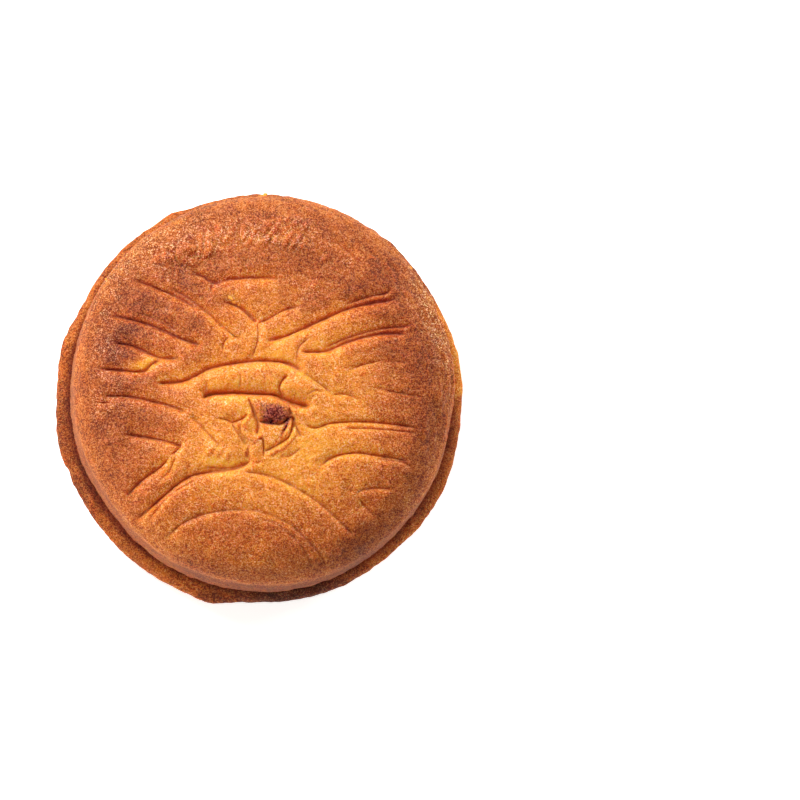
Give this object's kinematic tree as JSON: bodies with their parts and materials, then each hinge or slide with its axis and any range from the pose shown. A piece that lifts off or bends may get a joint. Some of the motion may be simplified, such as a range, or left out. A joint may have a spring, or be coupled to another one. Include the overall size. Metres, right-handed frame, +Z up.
{
  "type": "mooncake",
  "caption": "Round baked mooncake with a creased browned crown, a straight wall and an uneven crust foot, lying on its flat base.",
  "frame": {"origin": "centre of the flat base, on the surface the cake rests on", "axes": "+Z up through the creased crown; +X to the right and +Y to the top of the crown as it is seen from above, with the long fold under the middle roll running along X"},
  "size_m": [0.0724, 0.0732, 0.0416],
  "materials": {
    "crust": "matte"
  },
  "bodies": {
    "root": {"mooncake": "crust"}
  },
  "joints": []
}
